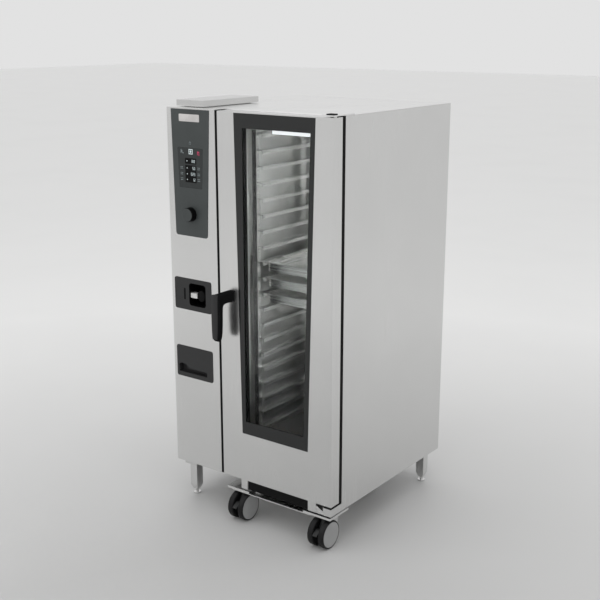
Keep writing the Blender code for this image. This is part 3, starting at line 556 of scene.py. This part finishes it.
def build_shower():
    """The hand shower: a black liner in its recess, a rounded body, a neck and a pale nozzle."""
    hoop("shower_liner", recess_outline(0.3), recess_outline(1.1), (-1.8, 73.6),
         "oven", PITCH)
    slab("shower_liner_back", recess_outline(1.2), (73.7, 74.8), "oven", PITCH)
    # y, half width and half height along the body
    body = smooth_path([(10.0, 17.0, 22.0), (13.0, 21.5, 26.0), (24.0, 23.0, 28.0), (40.0, 22.5, 27.0),
                        (54.0, 18.0, 22.0), (62.0, 9.0, 12.0)], 4)
    shape = bmesh.new()
    sides, rings = 40, []
    for y, wide, tall in body:
        rings.append([shape.verts.new(mm(171 + wide * math.cos(a), y, 994 + tall * math.sin(a)))
                      for a in (2 * math.pi * step / sides for step in range(sides))])
    skin(shape, rings)
    made = piece("shower_body", shape, "shower", PITCH, angle=60)
    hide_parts("hand_shower")
    bevelled("shower_neck", mm(146, 9, 980), mm(164, 30, 1006), 5.0,
             "shower", PITCH)
    bevelled("shower_nozzle", mm(115.5, 3.5, 982), mm(152, 30, 1004), 2.2,
             "shower", NOZZLE)
    turned("shower_hose", "y", mm(168, 0, 990), [(60, 7.0), (75, 7.0), (130, 7.0), (190, 7.0)],
           "shower", RUBBER, 32)
    slab("usb_slit", [(81.6, 972), (91.5, 972), (91.5, 1023), (81.6, 1023)], (-2.35, -1.9),
         "oven", PITCH)


# ---------------------------------------------------------------- door

CLEAR_TOP, CLEAR_BOTTOM = 1739.0, 472.0     # the window's clear field
PRINT_TOP, PRINT_BOTTOM = 1798.5, 415.5     # the whole pane
GRIP_FRONT = -70.0                          # the grip is where the handle reaches past this y
FACE_LEFT, FACE_RIGHT = 0.90, 0.64          # the lighter face's reach, as shares of the half width; the lever's sides beyond it carry painted shade


def build_window():
    """The outer pane with its printed border, as a frame round a clear field."""
    outer = [(404.7, PRINT_BOTTOM), (756.4, PRINT_BOTTOM),
             (790.4, PRINT_TOP), (380.6, PRINT_TOP)]
    clear = [(423.0, CLEAR_BOTTOM), (733.0, CLEAR_BOTTOM + 5),
             (766.0, CLEAR_TOP), (424.0, CLEAR_TOP)]
    border = hoop("window_print", outer, clear, (0.5, 6.4), "door", PRINT, smooth=False)
    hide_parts("door_glass_outer")
    slab("window_pane", clear, (0.7, 6.2), "door", PANE)
    paint(INNER_PANE, "door_glass_inner")
    paint(PITCH, "door_frame", "door_drip_tray")
    paint(RUBBER, "door_gasket")
    paint(LED, "door_light")
    paint(CAST, "door_latch")


def build_handle():
    """A lever: a tall arm leaves the door and turns down, at a crisp corner, into a flat grip."""
    rows = smooth_path([
        # middle x, the outer line's y and z, the inner line's y and z, half width
        (351.0, -0.9, 1052.5, -0.9, 1003.5, 18.0), (348.0, -24.0, 1051.5, -18.0, 1003.0, 18.0),
        (339.0, -50.0, 1047.5, -30.0, 1000.5, 19.0), (330.0, -66.0, 1043.5, -37.5, 994.0, 20.8),
        (325.5, -71.0, 1040.0, -41.0, 984.0, 21.8), (324.0, -72.6, 1033.0, -42.0, 970.0, 22.3),
        (322.5, -72.6, 1000.0, -42.0, 948.0, 22.8), (322.0, -72.6, 935.0, -42.0, 915.0, 22.4),
        (321.5, -72.3, 878.0, -42.5, 872.0, 20.4), (321.0, -70.8, 850.0, -44.5, 848.0, 17.6),
        (321.0, -68.5, 840.0, -47.0, 839.5, 15.2), (321.0, -64.0, 835.2, -51.0, 835.0, 12.0)], 5)
    boxy = 0.50     # 1 makes the section an oval, 0 a rectangle
    shape = bmesh.new()
    sides, rings = 48, []
    for x, outer_y, outer_z, inner_y, inner_z, wide in rows:
        outer, inner = mm(x, outer_y, outer_z), mm(x, inner_y, inner_z)
        ring = []
        for step in range(sides):
            angle = 2 * math.pi * step / sides
            across = math.copysign(abs(math.cos(angle)) ** boxy, math.cos(angle))
            over = math.copysign(abs(math.sin(angle)) ** boxy, math.sin(angle))
            ring.append(shape.verts.new((outer + inner) / 2 + (outer - inner) / 2 * over
                                        + Vector((wide * MM * across, 0, 0))))
        rings.append(ring)
    skin(shape, rings)
    # the lever is painted darker than its face: painted shade on its sides
    lever = piece("handle_lever", shape, "handle", HANDLE_SHADED, angle=50)
    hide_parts("door_handle")
    grip = [row for row in rows if row[1] < GRIP_FRONT]
    left = [(x - FACE_LEFT * wide, outer_z) for x, _, outer_z, _, _, wide in grip]
    right = [(x + FACE_RIGHT * wide, outer_z) for x, _, outer_z, _, _, wide in grip]
    slab("handle_face", left + right[::-1], (-72.9, -64.0),
         "handle", BLACK, radius=0.7)


# ---------------------------------------------------------------- cavity and trolley

GUARD_RINGS, GUARD_SPOKES = 9, 3
GUARD_INNER = 8.0                      # the smallest ring's inner radius
GUARD_PITCH, GUARD_BAND = 9.2, 6.4     # from one ring to the next, and each ring's width


def finish_inside():
    paint(CAVITY, "cavity_wall_left", "cavity_wall_right", "cavity_wall_rear", "cavity_ceiling",
          "cavity_floor", "air_baffle", "heater_element")
    paint(CAST, "fan_upper", "fan_lower", "fan_motor_upper", "fan_motor_lower", "steam_generator")
    paint(RACK, "rack_side_left", "rack_side_right", "trolley_base")
    paint(PAN, "gn_pan_1", "gn_pan_2", "gn_pan_3")
    soften(["gn_pan_1", "gn_pan_2", "gn_pan_3"], 0.7, angle=50)
    for key in ("upper", "lower"):
        build_guard(key)


def build_guard(key):
    """A grille of rings and spokes over one fan's inlet in the guide plate."""
    fan, plate = spot("fan_" + key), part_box("air_baffle")[1].x
    centre = Vector((plate, fan.y, fan.z))
    face, rear, sides = 2.2 * MM, 0.2 * MM, 48
    shape = bmesh.new()
    for ring in range(GUARD_RINGS):
        inner = (GUARD_INNER + GUARD_PITCH * ring) * MM
        outer = inner + GUARD_BAND * MM
        loops = [[shape.verts.new(centre + Vector((depth, reach * math.cos(a), reach * math.sin(a))))
                  for a in (2 * math.pi * step / sides for step in range(sides))]
                 for depth, reach in ((face, inner), (face, outer), (rear, outer), (rear, inner))]
        skin(shape, loops, closed=True)
    for spoke in range(GUARD_SPOKES):
        bar = block(shape, Vector((rear, -2.5 * MM, -87 * MM)),
                    Vector((face + 0.6 * MM, 2.5 * MM, 87 * MM)))
        bmesh.ops.rotate(shape, verts=bar, cent=(0, 0, 0),
                         matrix=Matrix.Rotation(math.pi * spoke / GUARD_SPOKES, 3, "X"))
        bmesh.ops.translate(shape, verts=bar, vec=centre)
    piece("inlet_guard_" + key, shape, "oven", CAVITY)


# (along the axle, radius) on one side of the caster
WHEEL_PROFILE = [(13.2, 40.0), (13.2, 55.5), (14.2, 59.4), (17.0, 62.1), (20.0, 62.5), (35.0, 62.5),
                 (38.4, 61.9), (40.4, 60.6), (41.2, 58.6)]
CAP_PROFILE = [(40.3, 55.6), (41.5, 55.2), (41.8, 53.0), (41.9, 40.0), (41.95, 14.0), (41.95, 4.0)]


def build_casters():
    for corner in ("front_left", "front_right", "rear_left", "rear_right"):
        wheels, fork = "caster_wheels_" + corner, "caster_fork_" + corner
        body = "wheels_" + corner
        centre = spot(wheels)
        axle = turned("axle_" + corner, "x", centre, [(-14.0, 5.9), (14.0, 5.9)],
                      body, STEEL_SHADED, 24)
        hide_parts(wheels)
        for side, sign in (("left", -1), ("right", 1)):
            for name, profile, material in (("tyre", WHEEL_PROFILE, TREAD),
                                            ("wheel_cap", CAP_PROFILE, CAP)):
                turned(f"{name}_{corner}_{side}", "x", centre, [(u * sign, r) for u, r in profile],
                       body, material, 72)
        paint(BLACK, fork)
        soften([fork], 1.6, segments=3)
        if corner.startswith("front"):
            paint(BLACK, "brake_pedal_" + corner)
            soften(["brake_pedal_" + corner], 1.5, segments=3)


# ---------------------------------------------------------------- stage

CAMERA_PLACE = Vector((2.6673, -3.6492, 2.1448))
CAMERA_TURN = (math.radians(90 - 15.007), 0, math.radians(36.497))
CAMERA_LENS, CAMERA_SENSOR = 61.73, 36

WORLD_TONE, WORLD_STRENGTH = 0.80, 0.95
FLOOR_SIZE = 40
FLOOR_FAR = (0.92, 0.92, 0.915)
FLOOR_NEAR_SHARE = 0.63      # the floor's tone in front of the oven, as a share of its tone far away: painted shade
FLOOR_CENTRE = (0.7, -1.4, 0.0)
FLOOR_MOTTLE = 0.12          # how much of the floor's tone is noise
FLOOR_FADE = (0.9, 4.8)      # metres from that centre over which the painted shade fades out


def add_light(name, place, aim, size, power, spread=180):
    """An area light that isn't seen itself, only what it lights."""
    data = bpy.data.lights.new(name, "AREA")
    data.shape = "RECTANGLE"
    data.size, data.size_y = size
    data.energy = power
    data.spread = math.radians(spread)
    obj = bpy.data.objects.new(name, data)
    bpy.context.scene.collection.objects.link(obj)
    obj.location = place
    obj.rotation_euler = (Vector(aim) - Vector(place)).to_track_quat("-Z", "Y").to_euler()
    obj.visible_camera = False


def build_stage():
    shape = bmesh.new()
    bmesh.ops.create_grid(shape, x_segments=1, y_segments=1, size=FLOOR_SIZE)
    mesh = bpy.data.meshes.new("floor")
    shape.to_mesh(mesh)
    shape.free()
    floor = bpy.data.objects.new("floor", mesh)
    bpy.context.scene.collection.objects.link(floor)
    finish = Finish("floor_paint", FLOOR_FAR, 0.5)
    reach = finish.tree.nodes.new("ShaderNodeVectorMath")
    reach.operation = "DISTANCE"
    finish.link(finish.place, reach.inputs[0])
    reach.inputs[1].default_value = FLOOR_CENTRE
    # painted shade: the floor is darker round FLOOR_CENTRE, in front of the oven, and lightens outwards
    painted_shade_fade = finish.spread(reach.outputs["Value"], 0.0, 0.88, *FLOOR_FADE)
    finish.tint(finish.both(painted_shade_fade, finish.noise(0.8), FLOOR_MOTTLE), FLOOR_NEAR_SHARE, 1.0, 0.06, 0.84)
    mesh.materials.append(finish.material)

    world = bpy.data.worlds.new("studio")
    bpy.context.scene.world = world
    world.use_nodes = True
    sky = world.node_tree.nodes["Background"]
    sky.inputs["Color"].default_value = (WORLD_TONE, WORLD_TONE, WORLD_TONE, 1)
    sky.inputs["Strength"].default_value = WORLD_STRENGTH
    add_light("key", (-2.6, -4.2, 4.6), (0, 0, 1.0), (4.0, 4.0), 34)
    add_light("fill", (4.6, -1.6, 3.2), (0, 0, 0.9), (3.0, 3.0), 10)
    add_light("ceiling", (0, 0, 5.6), (0, 0, 0), (6.0, 6.0), 40)
    # behind the door's right edge and turned inwards, so that they throw no patch on the floor
    add_light("cavity_front", mm(808, 92, 1190), mm(408, 362, 1190), (0.016, 1.04), 34, spread=86)
    add_light("cavity_back", mm(800, 112, 1230), mm(500, 702, 1230), (0.016, 1.00), 34, spread=96)

    data = bpy.data.cameras.new("camera")
    data.lens, data.sensor_width = CAMERA_LENS, CAMERA_SENSOR
    camera = bpy.data.objects.new("camera", data)
    camera.location, camera.rotation_euler = CAMERA_PLACE, CAMERA_TURN
    bpy.context.scene.collection.objects.link(camera)
    bpy.context.scene.camera = camera
    bpy.context.scene.view_settings.view_transform = "Standard"


finish_casing()
add_seams()
finish_rear()
finish_controls()
build_knob()
build_shower()
build_window()
build_handle()
finish_inside()
build_casters()
build_stage()
